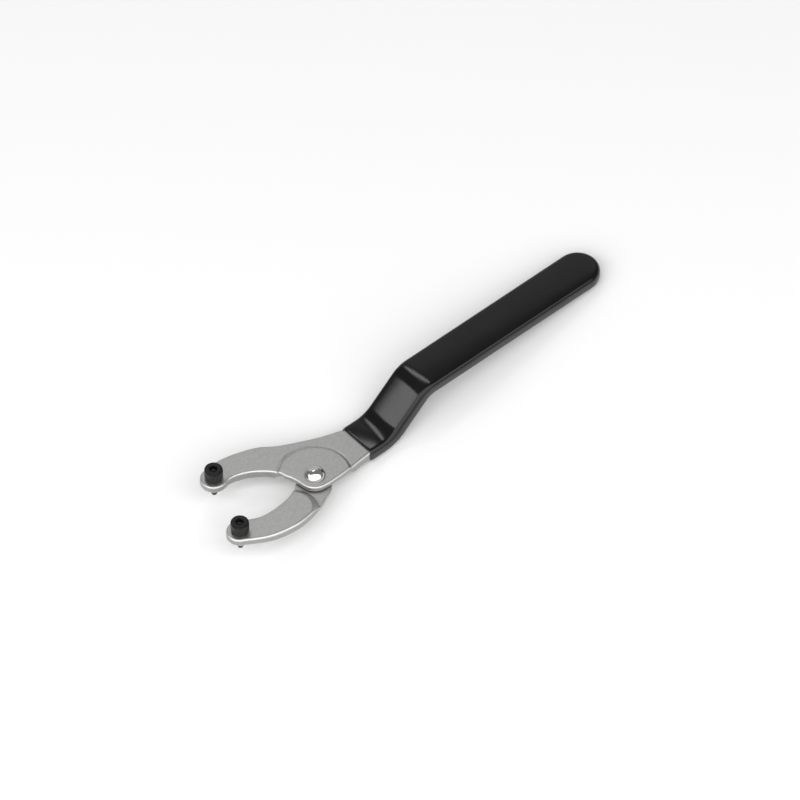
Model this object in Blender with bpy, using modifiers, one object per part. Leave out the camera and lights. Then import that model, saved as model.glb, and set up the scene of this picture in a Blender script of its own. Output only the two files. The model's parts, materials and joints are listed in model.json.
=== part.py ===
"""An adjustable two-pin face spanner, the kind that opens screwed case backs and two-hole nuts.

Lengths below are in millimetres, in the tool's own frame: the origin is on the jaw pivot, level
with the underside of the jaws, +X runs towards the grip, +Y towards the fixed jaw and +Z up. The
finished tool is then laid down as it rests by itself, on the grip's lower bend and the grip's end,
so world Z is vertical and the jaws are a little off the surface.
"""

import math

import bmesh
import bpy

MM = 0.001

# Driving dimensions
PLATE = 4.2                       # thickness of the jaws, the neck and the tang
FIXED_PIN = (-28.8, 24.5)         # pin axis of the fixed jaw
MOVING_PIN = (-38.3, -1.8)        # pin axis of the moving jaw, jaws as they rest
BOSS_RADIUS = 5.25                # round end of each jaw
JAW_ROUNDING = 0.9                # rounding along the edges of both jaws

HUB_RADIUS = 14.4                 # raised disc of the lever, and the recess below it
HUB_BOTTOM = 2.5
HUB_TOP = 4.8
HUB_ROUNDING = 0.5
TONGUE_TOP = 2.0
TONGUE_RADIUS = 6.6
NOSE_CENTRE = (-16.5, -6.1)       # centre of the round step down to the tongue
NOSE_RADIUS = 7.7
NOSE_FOOT_RADIUS = 10.4

GRIP_LEFT = 11.15                 # the grip's sides and round end, in plan
GRIP_RIGHT = -6.1
GRIP_START = 22.9
GRIP_END = 141.4
GRIP_ROUNDING = 1.5
COAT = 0.75                       # from the tang's surface to the outside of the grip
FIT_GAP = 0.12                    # clearance between a piece and the one it is fitted to

CRANK_LOW_X = 34.4                # where the tang's middle line turns up, and where it levels out
CRANK_HIGH_X = 51.5
CRANK_RISE = 15.1
LOW_BEND_RADIUS = 13.6
HIGH_BEND_RADIUS = 8.2

SCREW_SHANK = 4.0
SCREW_HEAD = 7.0
SCREW_HEAD_HEIGHT = 4.0
SCREW_SOCKET = 3.0                # across the flats
SCREW_SOCKET_DEPTH = 2.0
LOCK_WASHER = 0.6                 # thickness
LOCK_WASHER_OUTSIDE = 6.5
PIN_COLLAR = 2.9                  # diameter of the pin below the jaw
PIN_TIP = 1.75
PIN_REACH = 5.0                   # how far the pin stands below the jaw
PIN_CONE = 1.2

RIVET_SHANK = 4.5
RIVET_HEAD = 7.9
RIVET_HEAD_HEIGHT = 2.8
RIVET_TAIL = 6.6
RIVET_TAIL_HEIGHT = 0.9
RIVET_WASHER_OUTSIDE = 9.0
RIVET_WASHER = 0.6
FRICTION_WASHER_OUTSIDE = 11.0
FRICTION_WASHER = 0.3

ROUND_STEPS = 32                  # sides of a turned piece
HUB_STEPS = 64
CURVE_STEPS = 3                   # pieces of an outline between two of its points
BEND_STEPS = 6                    # pieces of each bend of the crank

STEEL = ("satin_nickel", (0.60, 0.59, 0.57), 0.38, 1.0)
RIVET_STEEL = ("bright_nickel", (0.70, 0.69, 0.67), 0.20, 1.0)
BLACK_OXIDE = ("black_oxide", (0.020, 0.020, 0.022), 0.42, 0.6)
SPRING_STEEL = ("spring_steel", (0.045, 0.045, 0.047), 0.45, 0.8)
GRIP_PLASTIC = ("black_grip_plastic", (0.012, 0.012, 0.012), 0.18, 0.0)


def make_collection(name):
    collection = bpy.data.collections.new(name)
    bpy.context.scene.collection.children.link(collection)
    return collection


def set_material(obj, finish):
    name, colour, roughness, metallic = finish
    material = bpy.data.materials.new(name)
    material.use_nodes = True
    shader = material.node_tree.nodes["Principled BSDF"]
    shader.inputs["Base Color"].default_value = (*colour, 1.0)
    shader.inputs["Roughness"].default_value = roughness
    shader.inputs["Metallic"].default_value = metallic
    obj.data.materials.append(material)


def add_object(name, mesh, collection):
    obj = bpy.data.objects.new(name, mesh)
    collection.objects.link(obj)
    return obj


def as_cutter(obj):
    obj.hide_render = True
    obj.display_type = "WIRE"
    return obj


def cut(obj, other, operation="DIFFERENCE"):
    modifier = obj.modifiers.new(operation.lower(), "BOOLEAN")
    modifier.operation = operation
    modifier.object = other
    modifier.solver = "EXACT"


def round_edges(obj, width, segments):
    """Round a plate's rims, and keep the result as its mesh, ready to be bent or cut."""
    modifier = obj.modifiers.new("rounding", "BEVEL")
    modifier.width = width * MM
    modifier.segments = segments
    modifier.limit_method = "ANGLE"
    modifier.angle_limit = math.radians(50)
    bpy.context.view_layer.update()
    evaluated = obj.evaluated_get(bpy.context.evaluated_depsgraph_get())
    obj.data = bpy.data.meshes.new_from_object(evaluated)
    obj.modifiers.clear()


def curve_to_mesh(curve_object, collection):
    """Replace a filled curve by a closed mesh of the same name and place."""
    bpy.context.view_layer.update()
    evaluated = curve_object.evaluated_get(bpy.context.evaluated_depsgraph_get())
    mesh = bpy.data.meshes.new_from_object(evaluated)
    welded = bmesh.new()
    welded.from_mesh(mesh)
    bmesh.ops.remove_doubles(welded, verts=welded.verts, dist=0.00001)
    bmesh.ops.dissolve_limit(
        welded, angle_limit=0.001, verts=welded.verts, edges=welded.edges
    )
    welded.to_mesh(mesh)
    welded.free()
    name = curve_object.name
    place = curve_object.matrix_world.copy()
    bpy.data.objects.remove(curve_object)
    obj = add_object(name, mesh, collection)
    obj.name = name
    obj.matrix_world = place
    return obj


def plan_plate(name, points, bottom, top, collection):
    """A flat plate whose outline is given in plan. A point is (x, y), or (x, y, "corner")."""
    curve = bpy.data.curves.new(name, "CURVE")
    curve.dimensions = "2D"
    curve.fill_mode = "BOTH"
    curve.extrude = (top - bottom) / 2 * MM
    curve.resolution_u = CURVE_STEPS
    spline = curve.splines.new("BEZIER")
    spline.bezier_points.add(len(points) - 1)
    spline.use_cyclic_u = True
    for bezier, point in zip(spline.bezier_points, points):
        handle = "VECTOR" if len(point) == 3 else "AUTO"
        bezier.handle_left_type = handle
        bezier.handle_right_type = handle
        bezier.co = (point[0] * MM, point[1] * MM, 0.0)
    obj = add_object(name, curve, collection)
    obj.location.z = (top + bottom) / 2 * MM
    return curve_to_mesh(obj, collection)


def turned(name, profile, centre, collection, steps=ROUND_STEPS):
    """A turned piece. The profile is (radius, z), from the top down the outside to the bottom."""
    mesh = bpy.data.meshes.new(name)
    points = [(radius * MM, 0.0, z * MM) for radius, z in profile]
    edges = [(i, i + 1) for i in range(len(points) - 1)]
    if profile[0][0] > 0:
        edges.append((len(points) - 1, 0))
    mesh.from_pydata(points, edges, [])
    obj = add_object(name, mesh, collection)
    obj.location = (centre[0] * MM, centre[1] * MM, 0.0)
    screw = obj.modifiers.new("turn", "SCREW")
    screw.axis = "Z"
    screw.angle = 2 * math.pi
    screw.steps = steps
    screw.render_steps = steps
    screw.use_merge_vertices = True
    screw.merge_threshold = 0.00001
    screw.use_smooth_shade = True
    return obj


def ring_profile(inside, outside, bottom, top):
    """The profile of a flat washer, given its diameters."""
    inner, outer = inside / 2, outside / 2
    return [(inner, top), (outer, top), (outer, bottom), (inner, bottom)]


def dome_profile(radius, height, base, steps=6):
    """Points down the outside of a rivet's snap head, which is part of a sphere."""
    sphere = (radius**2 + height**2) / (2 * height)
    half_angle = math.asin(min(1.0, radius / sphere))
    if height > radius:
        half_angle = math.pi - half_angle
    points = []
    for step in range(steps + 1):
        angle = half_angle * step / steps
        points.append((sphere * math.sin(angle), base + height - sphere + sphere * math.cos(angle)))
    points[0] = (0.0, base + height)
    return points


def arc(centre, radius, start, end, steps):
    """Plan points along an arc, angles in degrees."""
    points = []
    for step in range(steps + 1):
        angle = math.radians(start + (end - start) * step / steps)
        points.append((centre[0] + radius * math.cos(angle), centre[1] + radius * math.sin(angle)))
    return points


def crank_slope():
    return math.atan2(CRANK_RISE, CRANK_HIGH_X - CRANK_LOW_X)


def crank_lengths():
    """Where each stretch of the crank starts, measured along the tang's middle line."""
    slope = crank_slope()
    tangent = math.tan(slope / 2)
    low_start = CRANK_LOW_X - LOW_BEND_RADIUS * tangent
    low_end = low_start + LOW_BEND_RADIUS * slope
    ramp = math.hypot(CRANK_RISE, CRANK_HIGH_X - CRANK_LOW_X)
    high_start = low_end + ramp - (LOW_BEND_RADIUS + HIGH_BEND_RADIUS) * tangent
    high_end = high_start + HIGH_BEND_RADIUS * slope
    return low_start, low_end, high_start, high_end


def crank_place(along):
    """The point of the middle line at this length along it, as x, z and its angle."""
    slope = crank_slope()
    low_start, low_end, high_start, high_end = crank_lengths()
    turned_up = (min(max(along, low_start), low_end) - low_start) / LOW_BEND_RADIUS
    ramp = min(max(along, low_end), high_start) - low_end
    turned_back = (min(max(along, high_start), high_end) - high_start) / HIGH_BEND_RADIUS
    x = min(along, low_start) + LOW_BEND_RADIUS * math.sin(turned_up)
    z = PLATE / 2 + LOW_BEND_RADIUS * (1 - math.cos(turned_up))
    x += ramp * math.cos(slope)
    z += ramp * math.sin(slope)
    x += HIGH_BEND_RADIUS * (math.sin(slope) - math.sin(slope - turned_back))
    z += HIGH_BEND_RADIUS * (math.cos(slope - turned_back) - math.cos(slope))
    x += max(along - high_end, 0.0)
    return x, z, turned_up - turned_back


def crank_stretch():
    """How much longer the tang is along its middle line than in plan."""
    high_end = crank_lengths()[3]
    return high_end - crank_place(high_end)[0]


def bend_crank(obj):
    """Divide a straight plate across its bends, then lay it along the crank."""
    low_start, low_end, high_start, high_end = crank_lengths()
    stations = []
    for start, end in ((low_start, low_end), (high_start, high_end)):
        stations += [start + (end - start) * step / BEND_STEPS for step in range(BEND_STEPS + 1)]
    body = bmesh.new()
    body.from_mesh(obj.data)
    for station in stations:
        everything = body.verts[:] + body.edges[:] + body.faces[:]
        bmesh.ops.bisect_plane(
            body, geom=everything, dist=0.000001, plane_co=(station * MM, 0, 0), plane_no=(1, 0, 0)
        )
    for vertex in body.verts:
        x, z, angle = crank_place(vertex.co.x / MM)
        above = vertex.co.z / MM
        vertex.co.x = (x - math.sin(angle) * above) * MM
        vertex.co.z = (z + math.cos(angle) * above) * MM
    body.to_mesh(obj.data)
    body.free()
    obj.location.z = 0.0


def handle_outline(start, offset):
    """The grip's outline before it is bent, drawn in by offset, from start to its round end."""
    left = GRIP_LEFT - offset
    right = GRIP_RIGHT + offset
    radius = (left - right) / 2
    centre = (GRIP_END + crank_stretch() - offset - radius, (left + right) / 2)
    end = arc(centre, radius, -90, 90, 16)
    corners = [(x, y, "corner") for x, y in end]
    return [(start, right, "corner")] + corners + [(start, left, "corner")]


def lever_outline():
    """Plan of the fixed jaw, the hub and the neck, running on into the tang."""
    boss = arc(FIXED_PIN, BOSS_RADIUS, 85, 275, 8)
    throat = [
        (-24.6, 20.0), (-20.3, 19.1), (-16.8, 17.4), (-13.6, 15.1), (-10.9, 12.5), (-9.2, 10.0),
        (-8.5, 7.4), (-7.3, 4.4), (-6.6, 1.4),
    ]
    hub = arc((0.0, 0.0), 6.4, 190, 268, 4)
    neck_right = [(5.0, -6.6), (10.0, -6.4), (14.5, -5.9), (21.0, -5.2, "corner")]
    tang = handle_outline(GRIP_START - 0.5, COAT)
    neck_left = [
        (18.6, 12.0, "corner"), (14.7, 13.4), (10.9, 15.0), (7.4, 16.7), (3.9, 18.4), (0.4, 20.2),
        (-2.8, 22.3), (-5.7, 24.6), (-9.2, 26.4), (-13.0, 27.8), (-17.0, 29.0), (-22.0, 29.9),
    ]
    return boss + throat + hub + neck_right + tang + neck_left


def moving_jaw_outline():
    """Plan of the moving jaw and its tongue, as it rests."""
    boss = arc(MOVING_PIN, BOSS_RADIUS, 60, 250, 8)
    outside = [
        (-36.2, -9.2), (-32.0, -11.4), (-28.0, -12.7), (-23.7, -13.5), (-19.3, -13.9),
        (-14.6, -13.5), (-10.5, -12.6), (-6.6, -11.5), (-3.4, -10.0), (-0.9, -8.9),
        (1.8, -7.5),
    ]
    tongue = arc((0.0, 0.0), TONGUE_RADIUS, -55, 125, 8)
    inside = [
        (-6.6, 3.4), (-9.3, 1.2), (-12.8, -0.7), (-17.5, -1.7), (-23.0, -2.0), (-28.5, -1.3),
        (-32.5, 0.7),
    ]
    return boss + outside + tongue + inside


def lug_hole(name, centre, diameter, collection):
    bottom, top = -2.0, HUB_TOP + 2.0
    radius = diameter / 2
    profile = [(0, top), (radius, top), (radius, bottom), (0, bottom)]
    return as_cutter(turned(name, profile, centre, collection))


def make_hub_disc(cutters):
    """The raised disc around the pivot, with the lever's outline and a rim rounded both ways."""
    buried = PLATE - 0.7
    disc = turned(
        "hub_disc",
        [(0, HUB_TOP + 0.5), (HUB_RADIUS - 1.0, HUB_TOP + 0.5), (HUB_RADIUS, PLATE - 0.1),
         (HUB_RADIUS, buried - 0.5), (0, buried - 0.5)],
        (0, 0), cutters, HUB_STEPS,
    )
    plan = plan_plate("hub_plan", lever_outline(), buried, HUB_TOP, cutters)
    round_edges(plan, HUB_ROUNDING, 2)
    cut(disc, as_cutter(plan), "INTERSECT")
    return as_cutter(disc)


def make_main_lever(parts, cutters):
    """Fixed jaw, hub, neck and cranked tang: one forging."""
    lever = plan_plate("main_lever", lever_outline(), -PLATE / 2, PLATE / 2, parts)
    round_edges(lever, JAW_ROUNDING, 2)
    bend_crank(lever)
    cut(lever, make_hub_disc(cutters), "UNION")
    recess = turned(
        "hub_recess",
        [(0, HUB_BOTTOM), (HUB_RADIUS, HUB_BOTTOM), (HUB_RADIUS, -3.0), (0, -3.0)],
        (0, 0), cutters, HUB_STEPS,
    )
    cut(lever, as_cutter(recess))
    cut(lever, lug_hole("rivet_hole", (0, 0), RIVET_SHANK + 2 * FIT_GAP, cutters))
    cut(lever, lug_hole("fixed_pin_hole", FIXED_PIN, SCREW_SHANK + 2 * FIT_GAP, cutters))
    set_material(lever, STEEL)
    return lever


def make_nose(cutters):
    """The jaw's solid end at its step: a cone's front, drawn out to the left and widened."""
    mesh = bpy.data.meshes.new("nose")
    body = bmesh.new()
    spare = 1.5                   # the cone runs on past the step, above and below
    taper = (NOSE_FOOT_RADIUS - NOSE_RADIUS) / (PLATE - TONGUE_TOP)
    bmesh.ops.create_cone(
        body, cap_ends=True, segments=40,
        radius1=(NOSE_FOOT_RADIUS + spare * taper) * MM,
        radius2=(NOSE_RADIUS - spare * taper) * MM,
        depth=(PLATE - TONGUE_TOP + 2 * spare) * MM,
    )
    everything = body.verts[:] + body.edges[:] + body.faces[:]
    split_x = 2.6 * MM
    result = bmesh.ops.bisect_plane(
        body, geom=everything, plane_co=(split_x, 0, 0), plane_no=(1, 0, 0), clear_inner=True
    )
    rim = [item for item in result["geom_cut"] if isinstance(item, bmesh.types.BMEdge)]
    back = bmesh.ops.contextual_create(body, geom=rim)["faces"]
    drawn = bmesh.ops.extrude_face_region(body, geom=back)["geom"]
    bmesh.ops.delete(body, geom=back, context="FACES")
    for vertex in (item for item in drawn if isinstance(item, bmesh.types.BMVert)):
        vertex.co.x -= 45 * MM
        vertex.co.y *= 4
    bmesh.ops.recalc_face_normals(body, faces=body.faces)
    body.to_mesh(mesh)
    body.free()
    nose = add_object("nose", mesh, cutters)
    nose.location = (
        NOSE_CENTRE[0] * MM, NOSE_CENTRE[1] * MM, (PLATE + TONGUE_TOP) / 2 * MM
    )
    return as_cutter(nose)


def make_moving_jaw(parts, cutters):
    """The turning jaw: full thickness up to its sloping step, then a thin round tongue."""
    jaw = plan_plate("moving_jaw", moving_jaw_outline(), 0.0, PLATE, parts)
    round_edges(jaw, JAW_ROUNDING, 2)
    block = [(-60, -30, "corner"), (20, -30, "corner"), (20, 20, "corner"), (-60, 20, "corner")]
    step = plan_plate("jaw_step", block, TONGUE_TOP, PLATE + 1.0, cutters)
    cut(step, make_nose(cutters))
    cut(jaw, as_cutter(step))
    cut(jaw, lug_hole("tongue_hole", (0, 0), RIVET_SHANK + 2 * FIT_GAP, cutters))
    cut(jaw, lug_hole("moving_pin_hole", MOVING_PIN, SCREW_SHANK + 2 * FIT_GAP, cutters))
    set_material(jaw, STEEL)
    return jaw


def make_grip(parts, cutters):
    """The plastic sleeve: closed and round at the far end, open where the neck comes out."""
    outside = PLATE / 2 + COAT
    grip = plan_plate("grip_sleeve", handle_outline(GRIP_START, 0.0), -outside, outside, parts)
    round_edges(grip, GRIP_ROUNDING, 3)
    bend_crank(grip)
    inside = PLATE / 2 + FIT_GAP
    hollow = plan_plate(
        "grip_hollow", handle_outline(GRIP_START - 5, COAT - FIT_GAP), -inside, inside, cutters
    )
    round_edges(hollow, JAW_ROUNDING, 2)
    bend_crank(hollow)
    cut(grip, as_cutter(hollow))
    set_material(grip, GRIP_PLASTIC)
    return grip


def make_pin_screw(name, centre, parts, cutters):
    """A socket-head screw whose lower end is turned down to the spanner's pin."""
    seat = PLATE + LOCK_WASHER + 2 * FIT_GAP
    top = seat + SCREW_HEAD_HEIGHT
    head, shank = SCREW_HEAD / 2, SCREW_SHANK / 2
    collar, tip = PIN_COLLAR / 2, PIN_TIP / 2
    profile = [
        (0, top), (head - 0.5, top), (head - 0.12, top - 0.15), (head, top - 0.5), (head, seat),
        (shank, seat), (shank, 0.2), (collar, -0.2), (collar, -PIN_REACH + PIN_CONE),
        (tip, -PIN_REACH), (0, -PIN_REACH),
    ]
    screw = turned(name, profile, centre, parts)
    corner = SCREW_SOCKET / math.sqrt(3)
    floor = top - SCREW_SOCKET_DEPTH
    hexagon = turned(
        name + "_socket",
        [(0, top + 1), (corner, top + 1), (corner, floor), (0, floor - 0.6)],
        centre, cutters, 6,
    )
    cut(screw, as_cutter(hexagon))
    set_material(screw, BLACK_OXIDE)
    return screw


def make_lock_washer(name, centre, parts, cutters):
    """A spring washer with its slanting split, seated between the jaw and the screw head."""
    bottom = PLATE + FIT_GAP
    washer = turned(
        name,
        ring_profile(SCREW_SHANK + 0.4, LOCK_WASHER_OUTSIDE, bottom, bottom + LOCK_WASHER),
        centre, parts,
    )
    mesh = bpy.data.meshes.new(name + "_split")
    block = bmesh.new()
    bmesh.ops.create_cube(block, size=1.0)
    bmesh.ops.scale(block, vec=(4 * MM, 0.5 * MM, 3 * MM), verts=block.verts)
    block.to_mesh(mesh)
    block.free()
    split = add_object(name + "_split", mesh, cutters)
    split.location = ((centre[0] + 2.8) * MM, centre[1] * MM, (bottom + LOCK_WASHER / 2) * MM)
    split.rotation_euler.x = math.radians(40)
    cut(washer, as_cutter(split))
    set_material(washer, SPRING_STEEL)
    return washer


def make_rivet(parts):
    """The pivot rivet: snap head above the hub, formed end under its washer."""
    head_bottom = HUB_TOP + FIT_GAP
    tail_top = -RIVET_WASHER - 2 * FIT_GAP
    shank, tail = RIVET_SHANK / 2, RIVET_TAIL / 2
    profile = dome_profile(RIVET_HEAD / 2, RIVET_HEAD_HEIGHT - 0.3, head_bottom + 0.3)
    profile += [
        (RIVET_HEAD / 2, head_bottom), (shank, head_bottom), (shank, tail_top), (tail, tail_top),
        (tail - 0.1, tail_top - RIVET_TAIL_HEIGHT + 0.3),
        (tail - 0.5, tail_top - RIVET_TAIL_HEIGHT), (0, tail_top - RIVET_TAIL_HEIGHT),
    ]
    rivet = turned("pivot_rivet", profile, (0, 0), parts)
    set_material(rivet, RIVET_STEEL)
    return rivet


def make_pivot_washers(parts):
    """The friction washer between the plates, and the plain washer under the tongue."""
    hole = RIVET_SHANK + 2 * FIT_GAP
    middle = (TONGUE_TOP + HUB_BOTTOM) / 2
    half = FRICTION_WASHER / 2
    friction = turned(
        "friction_washer",
        ring_profile(hole, FRICTION_WASHER_OUTSIDE, middle - half, middle + half), (0, 0), parts,
    )
    set_material(friction, SPRING_STEEL)
    plain = turned(
        "rivet_washer",
        ring_profile(hole, RIVET_WASHER_OUTSIDE, -FIT_GAP - RIVET_WASHER, -FIT_GAP), (0, 0), parts,
    )
    set_material(plain, RIVET_STEEL)
    return [friction, plain]


def resting_angle():
    """The slope at which the grip lies on its lower bend and on the rounded end of its underside."""
    bend_radius = LOW_BEND_RADIUS + PLATE / 2 + COAT
    bend_centre = (crank_lengths()[0], PLATE / 2 + LOW_BEND_RADIUS)
    end_centre = (GRIP_END - GRIP_ROUNDING, CRANK_RISE - COAT + GRIP_ROUNDING)
    run = end_centre[0] - bend_centre[0]
    rise = end_centre[1] - bend_centre[1]
    reach = math.hypot(run, rise)
    return math.asin((bend_radius - GRIP_ROUNDING) / reach) + math.atan2(rise, run)


def set_down(root, parts):
    """Lean the whole tool to its rest, and put the middle of its box over the world's origin."""
    root.rotation_euler.y = resting_angle()
    bpy.context.view_layer.update()
    graph = bpy.context.evaluated_depsgraph_get()
    points = []
    for part in parts:
        evaluated = part.evaluated_get(graph)
        mesh = evaluated.to_mesh()
        points += [evaluated.matrix_world @ vertex.co for vertex in mesh.vertices]
        evaluated.to_mesh_clear()
    low = [min(point[axis] for point in points) for axis in range(3)]
    high = [max(point[axis] for point in points) for axis in range(3)]
    root.location = (-(low[0] + high[0]) / 2, -(low[1] + high[1]) / 2, -low[2])


def parent_to(root, children):
    for child in children:
        child.parent = root


def build():
    for obj in list(bpy.data.objects):
        bpy.data.objects.remove(obj)
    parts = make_collection("two_pin_face_spanner")
    cutters = make_collection("cutters")

    fixed = [
        make_main_lever(parts, cutters),
        make_grip(parts, cutters),
        make_rivet(parts),
        make_pin_screw("fixed_jaw_pin_screw", FIXED_PIN, parts, cutters),
        make_lock_washer("fixed_jaw_lock_washer", FIXED_PIN, parts, cutters),
    ]
    fixed += make_pivot_washers(parts)
    moving = [
        make_moving_jaw(parts, cutters),
        make_pin_screw("moving_jaw_pin_screw", MOVING_PIN, parts, cutters),
        make_lock_washer("moving_jaw_lock_washer", MOVING_PIN, parts, cutters),
    ]

    root = add_object("spanner_root", None, parts)
    pivot = add_object("jaw_pivot", None, parts)
    pivot.parent = root
    parent_to(root, fixed + list(cutters.objects))
    parent_to(pivot, moving)
    set_down(root, fixed + moving)


build()
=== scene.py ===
import json
import math
import bpy
from mathutils import Matrix, Vector


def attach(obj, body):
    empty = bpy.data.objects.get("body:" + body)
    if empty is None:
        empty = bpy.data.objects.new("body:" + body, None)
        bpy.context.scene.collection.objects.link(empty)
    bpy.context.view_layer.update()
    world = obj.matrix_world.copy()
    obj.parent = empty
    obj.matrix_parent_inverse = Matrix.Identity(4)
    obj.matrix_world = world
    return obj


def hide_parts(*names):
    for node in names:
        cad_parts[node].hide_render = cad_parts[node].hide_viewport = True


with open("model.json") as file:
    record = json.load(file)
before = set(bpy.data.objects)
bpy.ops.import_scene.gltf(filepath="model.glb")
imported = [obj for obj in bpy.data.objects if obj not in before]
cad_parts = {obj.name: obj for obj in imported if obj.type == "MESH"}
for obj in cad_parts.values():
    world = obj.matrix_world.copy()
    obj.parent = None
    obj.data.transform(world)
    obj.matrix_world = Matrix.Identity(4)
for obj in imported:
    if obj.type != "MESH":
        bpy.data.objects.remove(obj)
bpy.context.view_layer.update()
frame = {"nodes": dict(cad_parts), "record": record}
mm = 0.001
print("frame loaded:", ", ".join(sorted(frame["nodes"])))


# Every piece is drawn flat, in millimetres: the jaw pivot at 0, 0, the jaws' underside at 0,
# +X to the grip and +Y to the fixed jaw. layDown then leans it as the frame says.

pivotJoint = next(j for j in frame["record"]["behaviour"]["joints"] if j["name"] == "jaw_pivot")
pivotAxis = Vector(pivotJoint["axis"]).normalized()
pivotHeight = 2.1 * mm                                  # the joint's point is at mid plate
toolLean = math.atan2(pivotAxis.x, pivotAxis.z)
toolOrigin = Vector(pivotJoint["pos_m"]) - pivotAxis * pivotHeight
toolMatrix = Matrix.Translation(toolOrigin) @ Matrix.Rotation(toolLean, 4, "Y")


def onlySelect(obj):
    if bpy.context.object and bpy.context.object.mode != "OBJECT":
        bpy.ops.object.mode_set(mode="OBJECT")
    bpy.ops.object.select_all(action="DESELECT")
    obj.select_set(True)
    bpy.context.view_layer.objects.active = obj


def startEdit(obj, kind="VERT"):
    onlySelect(obj)
    bpy.ops.object.mode_set(mode="EDIT")
    bpy.ops.mesh.select_mode(type=kind)
    bpy.ops.mesh.select_all(action="SELECT")


def endEdit():
    bpy.ops.object.mode_set(mode="OBJECT")


def tidyMesh(obj):
    startEdit(obj)
    bpy.ops.mesh.remove_doubles(threshold=0.000004)
    bpy.ops.mesh.normals_make_consistent(inside=False)
    endEdit()


# stays in edit mode, with only those edges selected whose two ends pass the test
def selectEdges(obj, wanted):
    startEdit(obj, "EDGE")
    bpy.ops.mesh.select_all(action="DESELECT")
    endEdit()
    verts = obj.data.vertices
    for edge in obj.data.edges:
        ends = [verts[i].co / mm for i in edge.vertices]
        edge.select = wanted(ends[0], ends[1])
    bpy.ops.object.mode_set(mode="EDIT")
    bpy.ops.mesh.select_mode(type="EDGE")


def selectFaces(obj, wanted):
    startEdit(obj, "FACE")
    bpy.ops.mesh.select_all(action="DESELECT")
    endEdit()
    for face in obj.data.polygons:
        face.select = wanted(face.center / mm, face.normal)
    bpy.ops.object.mode_set(mode="EDIT")
    bpy.ops.mesh.select_mode(type="FACE")


def applyModifier(obj, kind, **settings):
    onlySelect(obj)
    modifier = obj.modifiers.new(kind.lower(), kind)
    for name, value in settings.items():
        setattr(modifier, name, value)
    bpy.ops.object.modifier_apply(modifier=modifier.name)


def joinShape(obj, other, operation):
    applyModifier(obj, "BOOLEAN", object=other, operation=operation, solver="EXACT")
    bpy.data.objects.remove(other)


def arcPoints(centre, radius, start, end, count):
    points = []
    for i in range(count + 1):
        angle = math.radians(start + (end - start) * i / count)
        points.append((centre[0] + radius * math.cos(angle), centre[1] + radius * math.sin(angle)))
    return points


# a closed curve through the points, filled, pulled up to a plate, its top and bottom rims rounded;
# the curve is smooth but for the points marked corner
def drawPlate(name, points, bottom, top, over=0, under=0, roundSteps=6, smoothness=10):
    bpy.ops.object.select_all(action="DESELECT")
    bpy.ops.curve.primitive_bezier_circle_add(radius=mm)
    obj = bpy.context.object
    obj.name = name
    obj.data.dimensions = "2D"
    obj.data.fill_mode = "NONE"
    obj.data.resolution_u = smoothness
    spline = obj.data.splines[0]
    spline.bezier_points.add(len(points) - len(spline.bezier_points))
    for knot, point in zip(spline.bezier_points, points):
        kind = "VECTOR" if len(point) == 3 else "AUTO"
        knot.handle_left_type = kind
        knot.handle_right_type = kind
        knot.co = (point[0] * mm, point[1] * mm, 0)
    bpy.ops.object.convert(target="MESH")
    startEdit(obj)
    bpy.ops.mesh.remove_doubles(threshold=0.00001)
    bpy.ops.mesh.edge_face_add()
    bpy.ops.transform.translate(value=(0, 0, bottom * mm))
    bpy.ops.mesh.extrude_region_move(TRANSFORM_OT_translate={"value": (0, 0, (top - bottom) * mm)})
    bpy.ops.mesh.select_all(action="SELECT")
    bpy.ops.mesh.normals_make_consistent(inside=False)
    endEdit()
    for height, rounding in ((top, over), (bottom, under)):
        if rounding:
            selectEdges(obj, lambda a, b: max(abs(a.z - height), abs(b.z - height)) < 0.001)
            bpy.ops.mesh.bevel(
                offset=rounding * mm, segments=roundSteps, affect="EDGES", clamp_overlap=True
            )
            endEdit()
    return obj


# thins a plate from below towards the pin, from fullX on to thinX
def taperUnderside(obj, plate, lift, fullX, thinX):
    for vertex in obj.data.vertices:
        share = min(1, max(0, (vertex.co.x / mm - fullX) / (thinX - fullX)))
        share = share * share * (3 - 2 * share)
        vertex.co.z += lift * share * (1 - vertex.co.z / (plate * mm)) * mm


def spinProfile(name, profile, centre=(0, 0), steps=96, sweep=360):
    bpy.ops.object.select_all(action="DESELECT")
    x, y = centre
    start = Vector(((x + profile[0][0]) * mm, y * mm, profile[0][1] * mm))
    bpy.ops.mesh.primitive_plane_add(size=mm, location=(0, 0, 0))
    obj = bpy.context.object
    obj.name = name
    startEdit(obj)
    bpy.ops.mesh.merge(type="CENTER")
    bpy.ops.transform.translate(value=start)
    for (r0, z0), (r1, z1) in zip(profile, profile[1:]):
        step = ((r1 - r0) * mm, 0, (z1 - z0) * mm)
        bpy.ops.mesh.extrude_region_move(TRANSFORM_OT_translate={"value": step})
    bpy.ops.mesh.select_all(action="SELECT")
    bpy.ops.mesh.spin(
        steps=steps, angle=math.radians(sweep), center=(x * mm, y * mm, 0), axis=(0, 0, 1)
    )
    bpy.ops.mesh.select_all(action="SELECT")
    bpy.ops.mesh.remove_doubles(threshold=0.000004)
    bpy.ops.mesh.normals_make_consistent(inside=False)
    endEdit()
    return obj


def smoothShade(obj, angle=35):
    onlySelect(obj)
    bpy.ops.object.shade_smooth_by_angle(angle=math.radians(angle))


# leans a finished piece as the tool lies, and leaves its object unturned at the origin
def layDown(obj):
    onlySelect(obj)
    obj.matrix_world = toolMatrix @ obj.matrix_world
    bpy.ops.object.transform_apply(location=True, rotation=True, scale=True)
    return obj


def settle(obj, body, node, material):
    layDown(obj)
    obj.data.materials.clear()
    obj.data.materials.append(material)
    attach(obj, body)
    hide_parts(node)
    print("piece:", obj.name, len(obj.data.polygons), "faces")
    return obj


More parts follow.
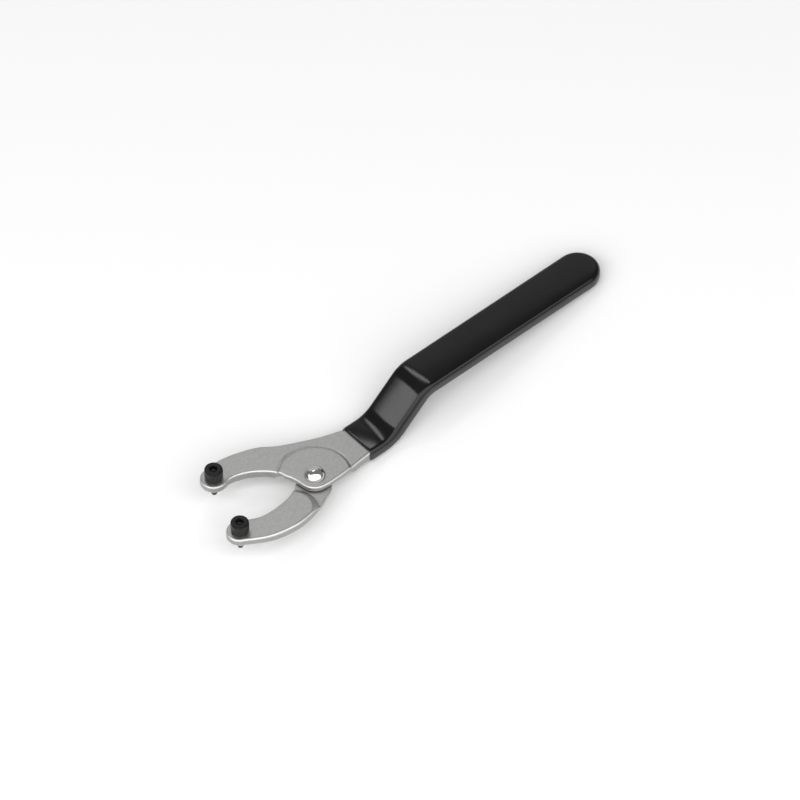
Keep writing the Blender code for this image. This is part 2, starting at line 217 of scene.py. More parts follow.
def newMaterial(name, colour, roughness, metallic):
    material = bpy.data.materials.new(name)
    material.use_nodes = True
    shader = material.node_tree.nodes["Principled BSDF"]
    shader.inputs["Base Color"].default_value = (*colour, 1)
    shader.inputs["Roughness"].default_value = roughness
    shader.inputs["Metallic"].default_value = metallic
    return material, shader


def addNode(material, kind, **settings):
    node = material.node_tree.nodes.new(kind)
    for name, value in settings.items():
        setattr(node, name, value)
    return node


def link(material, source, target):
    material.node_tree.links.new(source, target)


def objectCoords(material, scale=(1, 1, 1)):
    coords = addNode(material, "ShaderNodeTexCoord")
    mapping = addNode(material, "ShaderNodeMapping")
    mapping.inputs["Rotation"].default_value = (0, -toolLean, 0)
    mapping.inputs["Scale"].default_value = scale
    link(material, coords.outputs["Object"], mapping.inputs["Vector"])
    return mapping.outputs["Vector"]


# a noise whose blobs are about size millimetres across
def noise(material, vector, size, detail=3, roughness=0.5):
    node = addNode(material, "ShaderNodeTexNoise")
    node.inputs["Scale"].default_value = 1 / (size * mm)
    node.inputs["Detail"].default_value = detail
    node.inputs["Roughness"].default_value = roughness
    link(material, vector, node.inputs["Vector"])
    return node.outputs["Fac"]


def spread(material, value, low, high, fromLow=0.3, fromHigh=0.7):
    node = addNode(material, "ShaderNodeMapRange")
    node.inputs["From Min"].default_value = fromLow
    node.inputs["From Max"].default_value = fromHigh
    node.inputs["To Min"].default_value = low
    node.inputs["To Max"].default_value = high
    link(material, value, node.inputs["Value"])
    return node.outputs["Result"]


def colourBetween(material, factor, dark, light, fromLow=0.3, fromHigh=0.7):
    ramp = addNode(material, "ShaderNodeValToRGB")
    ramp.color_ramp.elements[0].position = fromLow
    ramp.color_ramp.elements[0].color = (*dark, 1)
    ramp.color_ramp.elements[1].position = fromHigh
    ramp.color_ramp.elements[1].color = (*light, 1)
    link(material, factor, ramp.inputs["Fac"])
    return ramp.outputs["Color"]


# layers of (height value, distance in mm, strength), the coarsest first
def addBump(material, shader, layers):
    normal = None
    for height, distance, strength in layers:
        bump = addNode(material, "ShaderNodeBump")
        bump.inputs["Distance"].default_value = distance * mm
        bump.inputs["Strength"].default_value = strength
        link(material, height, bump.inputs["Height"])
        if normal:
            link(material, normal, bump.inputs["Normal"])
        normal = bump.outputs["Normal"]
    link(material, normal, shader.inputs["Normal"])


# how squarely the surface faces straight up or down from the plate: 0 on its sides, 1 on its faces; the
# finishes use it to place painted highlight, painted shade and painted sheen
def facing(material):
    coords = addNode(material, "ShaderNodeTexCoord")
    dot = addNode(material, "ShaderNodeVectorMath", operation="DOT_PRODUCT")
    link(material, coords.outputs["Normal"], dot.inputs[0])
    dot.inputs[1].default_value = (math.sin(toolLean), 0, math.cos(toolLean))
    eitherWay = addNode(material, "ShaderNodeMath", operation="ABSOLUTE")
    link(material, dot.outputs["Value"], eitherWay.inputs[0])
    return eitherWay.outputs["Value"]


def blendColours(material, factor, first, second):
    mix = addNode(material, "ShaderNodeMix", data_type="RGBA")
    link(material, factor, mix.inputs["Factor"])
    link(material, first, mix.inputs["A"])
    link(material, second, mix.inputs["B"])
    return mix.outputs["Result"]


# nickel plate over a tumbled forging: an even fine grain, with a painted highlight on the melted edges
# and painted shade on the trimmed sides, chosen by which way the surface faces
def satinNickel():
    look = {
        "dark": (0.41, 0.408, 0.401), "light": (0.59, 0.587, 0.578), "paintedHighlightDark": (0.56, 0.557, 0.548),
        "paintedHighlightLight": (0.80, 0.797, 0.786), "paintedSideDark": (0.30, 0.297, 0.29),
        "paintedSideLight": (0.46, 0.457, 0.448), "smooth": 0.34, "rough": 0.50, "cloudSize": 9.0,
        "grainSize": 0.85, "dragSize": 0.2,
    }
    material, shader = newMaterial("satinNickel", look["light"], 0.42, 1.0)
    vector = objectCoords(material)
    clouds = noise(material, vector, look["cloudSize"])
    grain = noise(material, vector, look["grainSize"], 5, 0.75)
    drag = noise(material, objectCoords(material, (0.2, 1, 1)), look["dragSize"], 2)
    face = colourBetween(material, grain, look["dark"], look["light"], 0.25, 0.75)
    # the edge colours are a painted highlight and the side colours painted shade; rim carries both, laid on
    # by the facing mask
    edge = colourBetween(material, grain, look["paintedHighlightDark"], look["paintedHighlightLight"], 0.25, 0.75)
    side = colourBetween(material, grain, look["paintedSideDark"], look["paintedSideLight"], 0.25, 0.75)
    upward = facing(material)
    rim = blendColours(material, spread(material, upward, 0, 1, 0.05, 0.45), side, edge)
    whole = blendColours(material, spread(material, upward, 0, 1, 0.74, 0.90), rim, face)
    link(material, whole, shader.inputs["Base Color"])
    link(material, spread(material, grain, look["smooth"], look["rough"]), shader.inputs["Roughness"])
    addBump(material, shader, [(clouds, 0.03, 0.12), (grain, 0.014, 0.55), (drag, 0.006, 0.3)])
    return material


def brightNickel():
    look = {"dark": (0.60, 0.595, 0.585), "light": (0.70, 0.695, 0.685), "smooth": 0.11, "rough": 0.17}
    material, shader = newMaterial("brightNickel", look["light"], 0.14, 1.0)
    grain = noise(material, objectCoords(material), 0.4, 3, 0.55)
    link(material, colourBetween(material, grain, look["dark"], look["light"]), shader.inputs["Base Color"])
    link(material, spread(material, grain, look["smooth"], look["rough"]), shader.inputs["Roughness"])
    addBump(material, shader, [(grain, 0.003, 0.25)])
    return material


# oiled black oxide: almost black, with a dull grey bloom where the light rakes it
def blackOxide():
    look = {
        "dark": (0.004, 0.004, 0.0045), "light": (0.014, 0.0137, 0.014), "smooth": 0.30, "rough": 0.46,
    }
    material, shader = newMaterial("blackOxide", look["light"], 0.40, 0.35)
    shader.inputs["Specular IOR Level"].default_value = 0.42
    vector = objectCoords(material)
    bloom = noise(material, vector, 1.6, 4, 0.6)
    grain = noise(material, vector, 0.14, 2)
    link(material, colourBetween(material, bloom, look["dark"], look["light"]), shader.inputs["Base Color"])
    link(material, spread(material, bloom, look["smooth"], look["rough"]), shader.inputs["Roughness"])
    addBump(material, shader, [(grain, 0.008, 0.5)])
    return material


def springSteel():
    look = {"dark": (0.012, 0.012, 0.013), "light": (0.04, 0.039, 0.039), "smooth": 0.32, "rough": 0.5}
    material, shader = newMaterial("springSteel", look["light"], 0.4, 0.7)
    grain = noise(material, objectCoords(material), 0.2)
    link(material, colourBetween(material, grain, look["dark"], look["light"]), shader.inputs["Base Color"])
    link(material, spread(material, grain, look["smooth"], look["rough"]), shader.inputs["Roughness"])
    addBump(material, shader, [(grain, 0.006, 0.4)])
    return material


# dipped plastic: a glossy skin with the slow waves that the dip leaves, its sides made a little greyer by a
# painted sheen
def blackGrip():
    look = {
        "dark": (0.0025, 0.0025, 0.0029), "light": (0.005, 0.005, 0.0056),
        "paintedSideDark": (0.022, 0.022, 0.0225), "paintedSideLight": (0.034, 0.034, 0.0346), "smooth": 0.11,
        "rough": 0.18, "waveSize": 8.0, "peelSize": 0.9, "dustSize": 0.25,
    }
    material, shader = newMaterial("blackGrip", look["light"], 0.14, 0.0)
    shader.inputs["Specular IOR Level"].default_value = 0.36
    vector = objectCoords(material)
    waves = noise(material, objectCoords(material, (0.4, 1, 1)), look["waveSize"], 2, 0.4)
    orangePeel = noise(material, vector, look["peelSize"], 2, 0.45)
    dust = noise(material, vector, look["dustSize"], 3, 0.6)
    face = colourBetween(material, waves, look["dark"], look["light"])
    # the side colours are a painted sheen, lighter than the faces, laid on by the facing mask
    side = colourBetween(material, waves, look["paintedSideDark"], look["paintedSideLight"])
    faceShare = spread(material, facing(material), 0, 1, 0.15, 0.6)
    link(material, blendColours(material, faceShare, side, face), shader.inputs["Base Color"])
    link(material, spread(material, dust, look["smooth"], look["rough"]), shader.inputs["Roughness"])
    addBump(material, shader, [(waves, 0.10, 0.2), (orangePeel, 0.004, 0.3)])
    return material


finishes = {
    "satin": satinNickel(), "bright": brightNickel(), "oxide": blackOxide(),
    "spring": springSteel(), "grip": blackGrip(),
}
print("finishes made:", len(finishes))


lever = {
    "plate": 4.2, "over": 0.95, "under": 1.4, "boss": (-28.8, 24.5), "bossRadius": 5.25,
    "hubRadius": 14.4, "hubTop": 4.8, "hubBottom": 2.5, "hubOver": 0.7, "hubSlope": 1.0, "hubNose": 6.4,
    "flank": 1.5, "creaseWidth": 0.7, "creaseDepth": 0.4, "fade": 0.3, "fadeFrom": (-3, 4), "fadeOver": 9,
    "lift": 1.0, "taper": (-20, -30), "rivetHole": 4.74, "pinHole": 4.24, "tangStart": 24.0,
    "tangEnd": 140.65, "tangLow": -5.2, "tangHigh": 10.3, "tangRound": 0.9, "tangInset": 0.02,
    "throat": [(-24.6, 20.0), (-20.3, 19.1), (-16.8, 17.4), (-13.6, 15.1), (-10.9, 12.5), (-9.2, 10.0),
               (-8.5, 7.4), (-7.3, 4.4), (-6.6, 1.4)],
    "neckNear": [(5.0, -6.6), (10.0, -6.4), (14.5, -5.9), (19.0, -5.45), (22.2, -5.3, "corner"),
                 (27.0, -5.2, "corner")],
    "neckFar": [(27.0, 10.3, "corner"), (22.7, 10.3, "corner"), (22.3, 10.85, "corner"), (18.6, 12.0),
                (14.7, 13.4), (10.9, 15.0), (7.4, 16.7), (3.9, 18.4), (0.4, 20.2), (-2.8, 22.3),
                (-5.7, 24.6), (-9.2, 26.4), (-13.0, 27.8), (-17.0, 29.0), (-22.0, 29.9)],
    "grain": 0.2, "softening": 10,
}
crank = {
    "lowX": 34.4, "highX": 51.5, "rise": 15.1, "lowRadius": 13.6, "highRadius": 8.2, "bendSteps": 14,
}
crank["slope"] = math.atan2(crank["rise"], crank["highX"] - crank["lowX"])
crank["lowStart"] = crank["lowX"] - crank["lowRadius"] * math.tan(crank["slope"] / 2)
crank["highEnd"] = crank["highX"] + crank["highRadius"] * math.tan(crank["slope"] / 2)
crank["ramp"] = (
    math.hypot(crank["rise"], crank["highX"] - crank["lowX"])
    - (crank["lowRadius"] + crank["highRadius"]) * math.tan(crank["slope"] / 2)
)


# pulls the selected section along the crank: straight, up, along, level, and straight to the end
def sweepAlongCrank(straight):
    half = lever["plate"] / 2
    slope = crank["slope"]
    bpy.ops.mesh.extrude_region_move(TRANSFORM_OT_translate={"value": (straight[0] * mm, 0, 0)})
    bpy.ops.mesh.spin(
        steps=crank["bendSteps"], angle=slope, axis=(0, 1, 0),
        center=(crank["lowStart"] * mm, 0, (half + crank["lowRadius"]) * mm),
    )
    along = (crank["ramp"] * math.cos(slope) * mm, 0, crank["ramp"] * math.sin(slope) * mm)
    bpy.ops.mesh.extrude_region_move(TRANSFORM_OT_translate={"value": along})
    bpy.ops.mesh.spin(
        steps=crank["bendSteps"], angle=-slope, axis=(0, 1, 0),
        center=(crank["highEnd"] * mm, 0, (half + crank["rise"] - crank["highRadius"]) * mm),
    )
    bpy.ops.mesh.extrude_region_move(TRANSFORM_OT_translate={"value": (straight[1] * mm, 0, 0)})


# an upright rounded rectangle across the handle, as one loop of edges
def sectionLoop(name, x, low, high, halfThick, rounding, steps):
    bpy.ops.object.select_all(action="DESELECT")
    middle = (low + high) / 2
    height = lever["plate"] / 2
    bpy.ops.mesh.primitive_plane_add(
        size=1, location=(x * mm, middle * mm, height * mm), rotation=(0, math.pi / 2, 0)
    )
    obj = bpy.context.object
    obj.name = name
    obj.scale = (2 * halfThick * mm, (high - low) * mm, 1)
    bpy.ops.object.transform_apply(location=True, rotation=True, scale=True)
    startEdit(obj)
    bpy.ops.mesh.bevel(offset=rounding * mm, segments=steps, affect="VERTICES")
    bpy.ops.mesh.select_all(action="SELECT")
    bpy.ops.mesh.delete(type="ONLY_FACE")
    endEdit()
    return obj


# the part of the lever inside the grip, from the neck to its round end
def makeTang():
    start, end = lever["tangStart"], lever["tangEnd"]
    low, high = lever["tangLow"], lever["tangHigh"]
    radius = (high - low) / 2
    halfThick = lever["plate"] / 2 - lever["tangInset"]
    obj = sectionLoop("tang", start, low, high, halfThick, lever["tangRound"], 4)
    startEdit(obj, "EDGE")
    sweepAlongCrank((crank["lowStart"] - start, end - radius - crank["highEnd"]))
    endEdit()
    selectEdges(obj, lambda a, b: max(a.x, b.x) < start + 0.01)
    bpy.ops.mesh.edge_face_add()
    endEdit()
    roundEnd(obj, end - radius, (low + high) / 2)
    return obj


# turns the near half of the last section round the middle line, to meet the far half
def roundEnd(obj, x, middle):
    tiny = 0.01
    startEdit(obj)
    bpy.ops.mesh.bisect(plane_co=(0, middle * mm, 0), plane_no=(0, 1, 0))
    selectEdges(obj, lambda a, b: min(a.x, b.x) > x - tiny and max(a.y, b.y) < middle + tiny)
    bpy.ops.mesh.spin(steps=32, angle=-math.pi, axis=(0, 0, 1), center=(x * mm, middle * mm, 0))
    bpy.ops.mesh.select_all(action="SELECT")
    bpy.ops.mesh.remove_doubles(threshold=0.00001)
    bpy.ops.mesh.normals_make_consistent(inside=False)
    endEdit()


def drillHole(obj, centre, width):
    hole = spinProfile("drill", [(0, 9), (width / 2, 9), (width / 2, -2), (0, -2)], centre)
    joinShape(obj, hole, "DIFFERENCE")


def leverOutline():
    boss = arcPoints(lever["boss"], lever["bossRadius"], 85, 275, 8)
    hub = arcPoints((0, 0), lever["hubNose"], 190, 268, 4)
    return boss + lever["throat"] + hub + lever["neckNear"] + lever["neckFar"]


def makeLever():
    plate, top = lever["plate"], lever["hubTop"]
    obj = drawPlate("mainLever", leverOutline(), 0, plate, lever["over"], lever["under"])
    taperUnderside(obj, plate, lever["lift"], lever["taper"][0], lever["taper"][1])
    raised = drawPlate("raisedHub", leverOutline(), 1.5, top, lever["hubOver"])
    edge, inner = lever["hubRadius"], lever["hubRadius"] - 0.1
    brink = inner - lever["hubSlope"]
    disc = spinProfile("hubDisc", [
        (0, 9), (brink, 9), (brink, top), (inner, plate - 0.12), (inner, 0.5), (0, 0.5),
    ])
    joinShape(raised, disc, "INTERSECT")
    joinShape(obj, raised, "UNION")

    # the crease round the hub, shallower towards the fixed jaw and the near edge
    outer, low = edge + lever["creaseWidth"], plate - lever["creaseDepth"]
    groove = spinProfile("hubCrease", [
        (inner, low), (inner, plate + 0.1), (outer, plate + 0.1), (inner, low),
    ])
    for vertex in groove.data.vertices:
        towardsJaw = (lever["fadeFrom"][0] - vertex.co.x / mm) / lever["fadeOver"]
        towardsNear = (lever["fadeFrom"][1] - vertex.co.y / mm) / lever["fadeOver"]
        vertex.co.z += lever["fade"] * min(1, max(0, towardsJaw, towardsNear)) * mm
    joinShape(obj, groove, "DIFFERENCE")

    # the hollow under the hub that the other jaw turns in
    roof, flank = lever["hubBottom"], lever["flank"]
    recess = spinProfile("hubRecess", [
        (0, roof), (edge - flank, roof), (edge + flank, 0), (edge + flank + 1, -1), (0, -1),
    ])
    joinShape(obj, recess, "DIFFERENCE")

    # the forging's melted edges, then the holes, which stay sharp
    applyModifier(obj, "REMESH", mode="VOXEL", voxel_size=lever["grain"] * mm, adaptivity=0.0)
    applyModifier(obj, "SMOOTH", factor=0.5, iterations=lever["softening"])
    drillHole(obj, (0, 0), lever["rivetHole"])
    drillHole(obj, lever["boss"], lever["pinHole"])
    joinShape(obj, makeTang(), "UNION")
    smoothShade(obj, 40)
    settle(obj, "lever", "main_lever", finishes["satin"])


makeLever()


jaw = {
    "plate": 4.2, "over": 0.95, "under": 1.3, "boss": (-38.3, -1.8), "bossRadius": 5.25,
    "lift": 0.6, "taper": (-24, -39),
    "tongueTop": 2.0, "tongueRadius": 6.6, "nose": (-16.5, -6.1), "noseTop": 7.7, "noseFoot": 10.4,
    "noseStart": 2.6, "jawReach": 45, "fanOut": 4,
    "outside": [(-36.2, -9.2), (-32.0, -11.4), (-28.0, -12.7), (-23.7, -13.5), (-19.3, -13.9),
                (-14.6, -13.5), (-10.5, -12.6), (-6.6, -11.5), (-3.4, -10.0), (-0.9, -8.9), (1.8, -7.5)],
    "inside": [(-6.6, 3.4), (-9.3, 1.2), (-12.8, -0.7), (-17.5, -1.7), (-23.0, -2.0), (-28.5, -1.3),
               (-32.5, 0.7)],
    "grain": 0.16, "softening": 7,
}


# what is cut away above the tongue: a block, less the round sloping nose of the jaw and the jaw behind it
def makeStep():
    spare = 1.5
    height = jaw["plate"] - jaw["tongueTop"]
    taper = (jaw["noseFoot"] - jaw["noseTop"]) / height
    bpy.ops.object.select_all(action="DESELECT")
    bpy.ops.mesh.primitive_cone_add(
        vertices=160, radius1=(jaw["noseFoot"] + spare * taper) * mm,
        radius2=(jaw["noseTop"] - spare * taper) * mm, depth=(height + 2 * spare) * mm,
        location=(jaw["nose"][0] * mm, jaw["nose"][1] * mm, (jaw["plate"] + jaw["tongueTop"]) / 2 * mm),
    )
    nose = bpy.context.object
    bpy.ops.object.transform_apply(location=True, rotation=True, scale=True)
    splitX = jaw["nose"][0] + jaw["noseStart"]
    startEdit(nose)
    bpy.ops.mesh.bisect(
        plane_co=(splitX * mm, 0, 0), plane_no=(1, 0, 0), use_fill=True, clear_inner=True
    )
    endEdit()
    selectFaces(nose, lambda centre, normal: normal.x < -0.99)
    bpy.ops.mesh.extrude_region_move(TRANSFORM_OT_translate={"value": (-jaw["jawReach"] * mm, 0, 0)})
    endEdit()
    for vertex in nose.data.vertices:
        if vertex.co.x < (splitX - 1) * mm:
            vertex.co.y += (vertex.co.y - jaw["nose"][1] * mm) * (jaw["fanOut"] - 1)
    block = drawPlate(
        "stepBlock", [(-60, -30, "corner"), (20, -30, "corner"), (20, 20, "corner"), (-60, 20, "corner")],
        jaw["tongueTop"], jaw["plate"] + 1,
    )
    joinShape(block, nose, "DIFFERENCE")
    return block


def makeJaw():
    boss = arcPoints(jaw["boss"], jaw["bossRadius"], 60, 250, 8)
    tongue = arcPoints((0, 0), jaw["tongueRadius"], -55, 125, 8)
    outline = boss + jaw["outside"] + tongue + jaw["inside"]
    obj = drawPlate("movingJaw", outline, 0, jaw["plate"], jaw["over"], jaw["under"])
    taperUnderside(obj, jaw["plate"], jaw["lift"], jaw["taper"][0], jaw["taper"][1])
    joinShape(obj, makeStep(), "DIFFERENCE")
    applyModifier(obj, "REMESH", mode="VOXEL", voxel_size=jaw["grain"] * mm, adaptivity=0.0)
    applyModifier(obj, "SMOOTH", factor=0.5, iterations=jaw["softening"])
    drillHole(obj, (0, 0), lever["rivetHole"])
    drillHole(obj, jaw["boss"], lever["pinHole"])
    smoothShade(obj, 40)
    settle(obj, "jaw", "moving_jaw", finishes["satin"])


makeJaw()


grip = {
    "start": 22.9, "end": 141.4, "low": -6.1, "high": 11.15, "halfThick": 2.85, "rounding": 2.0,
    "crown": 0.16, "crownSteps": 7, "wall": 0.5, "lip": 0.9, "lipDrop": 0.2, "lipRound": 0.15,
}


# the section's upper edge bulges a little, so that the broad face isn't dead flat
def crownSection(obj):
    half = (grip["high"] - grip["low"]) / 2 - grip["rounding"]
    middle = (grip["high"] + grip["low"]) / 2
    plateMiddle = lever["plate"] / 2
    selectEdges(obj, lambda a, b: abs(a.y - b.y) > half)
    bpy.ops.mesh.subdivide(number_cuts=grip["crownSteps"])
    endEdit()
    for vertex in obj.data.vertices:
        across = (vertex.co.y / mm - middle) / half
        if abs(across) < 1 and vertex.co.z / mm > plateMiddle:
            vertex.co.z += grip["crown"] * (1 - across ** 2) * mm


def makeGrip():
    low, high, drop = grip["low"], grip["high"], grip["lipDrop"]
    radius = (high - low) / 2
    middle = (low + high) / 2
    plateMiddle = lever["plate"] / 2
    obj = sectionLoop("gripSleeve", grip["start"], low, high, grip["halfThick"], grip["rounding"], 8)
    crownSection(obj)
    startEdit(obj, "EDGE")
    bpy.ops.mesh.extrude_region_move(TRANSFORM_OT_translate={"value": (grip["lip"] * mm, 0, 0)})
    firstStraight = crank["lowStart"] - grip["start"] - grip["lip"]
    sweepAlongCrank((firstStraight, grip["end"] - radius - crank["highEnd"]))
    endEdit()
    roundEnd(obj, grip["end"] - radius, middle)

    # the front edge is drawn in, then the skin gets its wall and its front rim is rounded
    selectEdges(obj, lambda a, b: max(a.x, b.x) < grip["start"] + 0.01)
    bpy.ops.transform.resize(
        value=(1, 1 - drop / radius, 1 - drop / grip["halfThick"]),
        center_override=(grip["start"] * mm, middle * mm, plateMiddle * mm),
    )
    endEdit()
    applyModifier(obj, "SOLIDIFY", thickness=grip["wall"] * mm, offset=-1, use_even_offset=True)
    outer = grip["halfThick"] - drop - grip["wall"] / 2

    def isFrontRim(a, b):
        atFront = max(a.x, b.x) < grip["start"] + 0.06
        return atFront and min(abs(a.z - plateMiddle), abs(b.z - plateMiddle)) > outer

    selectEdges(obj, isFrontRim)
    bpy.ops.mesh.bevel(offset=grip["lipRound"] * mm, segments=3, affect="EDGES")
    endEdit()
    smoothShade(obj, 50)
    settle(obj, "lever", "grip_sleeve", finishes["grip"])


makeGrip()


screw = {
    "head": 7.0, "headHeight": 4.0, "seat": 5.04, "shank": 4.0, "socket": 3.0, "socketDepth": 2.0,
    "collar": 2.9, "tip": 1.75, "reach": 5.0, "cone": 1.2, "teeth": 40, "toothDepth": 0.09,
}
lockWasher = {
    "inside": 4.4, "outside": 6.4, "bottom": 4.32, "thick": 0.6, "corner": 0.06, "gap": 14, "rise": 0.1,
}


# foot is the height of the jaw's underside, where the thread gives way to the pin
def makeScrew(name, node, body, centre, foot):
    top = screw["seat"] + screw["headHeight"]
    head, shank = screw["head"] / 2, screw["shank"] / 2
    collar, tip = screw["collar"] / 2, screw["tip"] / 2
    reach = -screw["reach"]
    profile = [
        (0, top), (head - 0.75, top), (head - 0.45, top - 0.04), (head - 0.16, top - 0.18),
        (head - 0.03, top - 0.42), (head, top - 0.6), (head, screw["seat"] + 0.45),
        (head - 0.06, screw["seat"] + 0.12), (head - 0.2, screw["seat"]), (shank, screw["seat"]),
        (shank, foot + 0.25), (shank - 0.12, foot + 0.1), (collar, foot - 0.15),
        (collar, reach + screw["cone"] + 0.1),
        (collar - 0.06, reach + screw["cone"]), (tip + 0.08, reach + 0.06), (tip, reach), (0, reach),
    ]
    obj = spinProfile(name, profile, centre, screw["teeth"] * 4)

    # the knurl: one column of points in four is pressed in, as the groove between two teeth
    for vertex in obj.data.vertices:
        x = vertex.co.x / mm - centre[0]
        y = vertex.co.y / mm - centre[1]
        radius = math.hypot(x, y)
        if radius > head - 0.05 and screw["seat"] + 0.3 < vertex.co.z / mm < top - 0.5:
            turn = math.atan2(y, x) / (2 * math.pi) * screw["teeth"]
            depth = screw["toothDepth"] if abs(turn - round(turn)) > 0.3 else 0
            shrink = 1 - depth / radius
            vertex.co.x = (centre[0] + x * shrink) * mm
            vertex.co.y = (centre[1] + y * shrink) * mm

    # the hexagon socket with its drilled bottom
    corner = screw["socket"] / math.sqrt(3)
    floor = top - screw["socketDepth"]
    hollow = [(0, top + 1), (corner, top + 1), (corner, floor), (0, floor - 0.7)]
    socket = spinProfile("socket", hollow, centre, 6)
    joinShape(obj, socket, "DIFFERENCE")
    applyModifier(
        obj, "BEVEL", width=0.05 * mm, segments=2, limit_method="ANGLE", angle_limit=math.radians(55)
    )
    smoothShade(obj, 32)
    settle(obj, body, node, finishes["oxide"])


# the cut through one side of a washer, its four corners taken off
def ringProfile(inside, outside, low, high, corner):
    inner, outer = inside / 2, outside / 2
    return [
        (inner, low + corner), (inner, high - corner), (inner + corner, high), (outer - corner, high),
        (outer, high - corner), (outer, low + corner), (outer - corner, low), (inner + corner, low),
        (inner, low + corner),
    ]


# a square wire ring, open by a small gap, its two ends sprung a little apart
def makeLockWasher(name, node, body, centre):
    low, high = lockWasher["bottom"], lockWasher["bottom"] + lockWasher["thick"]
    profile = ringProfile(lockWasher["inside"], lockWasher["outside"], low, high, lockWasher["corner"])
    obj = spinProfile(name, profile, centre, 72, 360 - lockWasher["gap"])
    startEdit(obj, "EDGE")
    bpy.ops.mesh.edge_face_add()
    endEdit()
    tidyMesh(obj)
    for vertex in obj.data.vertices:
        around = math.atan2(vertex.co.y / mm - centre[1], vertex.co.x / mm - centre[0])
        turn = (around - math.radians(lockWasher["gap"] / 2)) % (2 * math.pi) / (2 * math.pi)
        vertex.co.z += lockWasher["rise"] * turn * mm
    smoothShade(obj, 35)
    settle(obj, body, node, finishes["spring"])


makeScrew("fixedPinScrew", "fixed_jaw_pin_screw", "lever", lever["boss"], lever["lift"])
makeScrew("movingPinScrew", "moving_jaw_pin_screw", "jaw", jaw["boss"], jaw["lift"])
makeLockWasher("fixedLockWasher", "fixed_jaw_lock_washer", "lever", lever["boss"])
makeLockWasher("movingLockWasher", "moving_jaw_lock_washer", "jaw", jaw["boss"])


rivet = {
    "head": 7.9, "headHeight": 2.8, "rim": 0.3, "seat": 4.92, "shank": 4.5, "tail": 6.6, "tailTop": -0.84,
    "tailHeight": 0.9, "dimple": 2.6, "domeSteps": 14,
}


def makeRivet():
    head = rivet["head"] / 2
    rise = rivet["headHeight"] - rivet["rim"]
    ball = (head ** 2 + rise ** 2) / (2 * rise)
    base = rivet["seat"] + rivet["rim"]
    widest = math.asin(head / ball)
    profile = [(0, base + rise)]
    for i in range(1, rivet["domeSteps"] + 1):
        angle = widest * i / rivet["domeSteps"]
        profile.append((ball * math.sin(angle), base + rise - ball + ball * math.cos(angle)))
    tail, tailTop = rivet["tail"] / 2, rivet["tailTop"]
    tailEnd = tailTop - rivet["tailHeight"]
    dimple = rivet["dimple"] / 2
    profile += [
        (head, rivet["seat"] + 0.08), (head - 0.1, rivet["seat"]), (rivet["shank"] / 2, rivet["seat"]),
        (rivet["shank"] / 2, tailTop), (tail - 0.05, tailTop), (tail, tailTop - 0.12),
        (tail - 0.1, tailTop - 0.45), (tail - 0.45, tailEnd + 0.12), (tail - 1.0, tailEnd),
        (dimple, tailEnd), (dimple - 0.3, tailEnd + 0.12), (0, tailEnd + 0.3),
    ]
    obj = spinProfile("pivotRivet", profile)
    smoothShade(obj, 40)
    settle(obj, "lever", "pivot_rivet", finishes["bright"])


flatWashers = {
    "rivetWasher": {"inside": 4.74, "outside": 9.0, "bottom": -0.72, "top": -0.12, "corner": 0.12},
    "frictionWasher": {"inside": 4.74, "outside": 11.0, "bottom": 2.1, "top": 2.4, "corner": 0.075},
}


def makeFlatWasher(name, node, material):
    washer = flatWashers[name]
    sizes = [washer[size] for size in ("inside", "outside", "bottom", "top", "corner")]
    obj = spinProfile(name, ringProfile(*sizes))
    smoothShade(obj, 35)
    settle(obj, "lever", node, material)


makeRivet()
makeFlatWasher("rivetWasher", "rivet_washer", finishes["bright"])
makeFlatWasher("frictionWasher", "friction_washer", finishes["spring"])


# angles in degrees, the lens in millimetres, the rest in metres in the tool's own directions
shot = {
    "elevation": 49.05, "turn": 39.80, "roll": -1.32, "distance": 5.63,
    "aside": 0.03247, "above": 0.03034, "lens": 677.31,
}


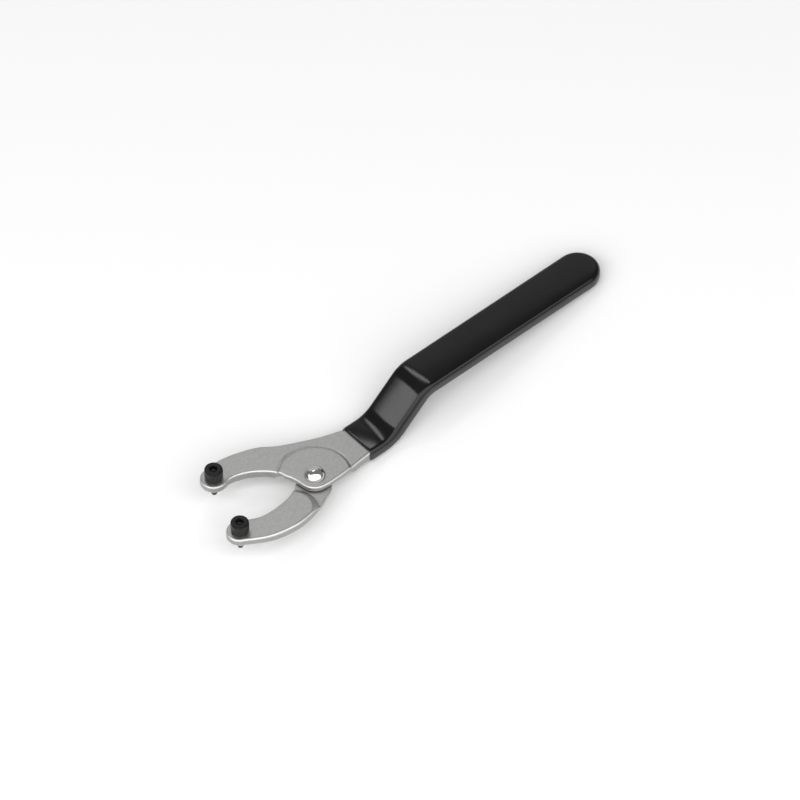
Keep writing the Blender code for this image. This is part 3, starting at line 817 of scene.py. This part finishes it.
def makeCamera():
    elevation, turn, roll = (math.radians(shot[k]) for k in ("elevation", "turn", "roll"))
    right = Vector((math.cos(turn), -math.sin(turn), 0))
    away = Vector((math.sin(turn), math.cos(turn), 0))
    up = away * math.sin(elevation) + Vector((0, 0, math.cos(elevation)))
    ahead = away * math.cos(elevation) - Vector((0, 0, math.sin(elevation)))
    target = right * shot["aside"] + up * shot["above"]
    rolledRight = right * math.cos(roll) + up * math.sin(roll)
    rolledUp = up * math.cos(roll) - right * math.sin(roll)
    place = target - ahead * shot["distance"]
    turned = Matrix((rolledRight, rolledUp, -ahead)).transposed().to_4x4()
    bpy.ops.object.camera_add()
    camera = bpy.context.object
    camera.matrix_world = toolMatrix @ Matrix.Translation(place) @ turned
    camera.data.sensor_width = 36
    camera.data.lens = shot["lens"]
    camera.data.clip_start = 0.1
    camera.data.clip_end = 50
    bpy.context.scene.camera = camera


makeCamera()


# places and sizes in metres from the middle of the floor, glow in watts per square metre
studio = {
    "floor": (0.94, 0.94, 0.94), "floorSize": 6.0, "world": 0.24,
    "boxes": {
        "keyBox": {"place": (-0.42, -0.56, 0.84), "size": (4.2, 1.35), "glow": 5.9},
        "backBox": {"place": (0.60, 1.00, 0.62), "size": (1.6, 0.9), "glow": 1.3},
        "slopeBox": {"place": (-0.64, 0.45, 0.60), "size": (0.20, 0.24), "glow": 13.0},
        "streakBox": {"place": (0.24, 0.46, 0.82), "size": (0.36, 0.11), "glow": 15.0},
    },
}


def makeFloor():
    bpy.ops.object.select_all(action="DESELECT")
    bpy.ops.mesh.primitive_plane_add(size=studio["floorSize"], location=(0, 0, 0))
    floor = bpy.context.object
    floor.name = "studioFloor"
    material, shader = newMaterial("paleFloor", studio["floor"], 0.9, 0.0)
    floor.data.materials.append(material)


def makeSoftbox(name, box):
    bpy.ops.object.light_add(type="AREA", location=box["place"])
    light = bpy.context.object
    light.name = name
    light.data.shape = "RECTANGLE"
    light.data.size, light.data.size_y = box["size"]
    light.data.energy = box["glow"] * box["size"][0] * box["size"][1]
    light.rotation_euler = (-Vector(box["place"])).to_track_quat("-Z", "Y").to_euler()
    light.visible_camera = False


def makeWorld():
    world = bpy.data.worlds.new("studioWorld")
    world.use_nodes = True
    background = world.node_tree.nodes["Background"]
    background.inputs["Color"].default_value = (1, 1, 1, 1)
    background.inputs["Strength"].default_value = studio["world"]
    bpy.context.scene.world = world


makeFloor()
makeWorld()
for boxName, box in studio["boxes"].items():
    makeSoftbox(boxName, box)
print("floor and lights placed:", len(studio["boxes"]), "softboxes")

bpy.context.scene.view_settings.view_transform = "Standard"
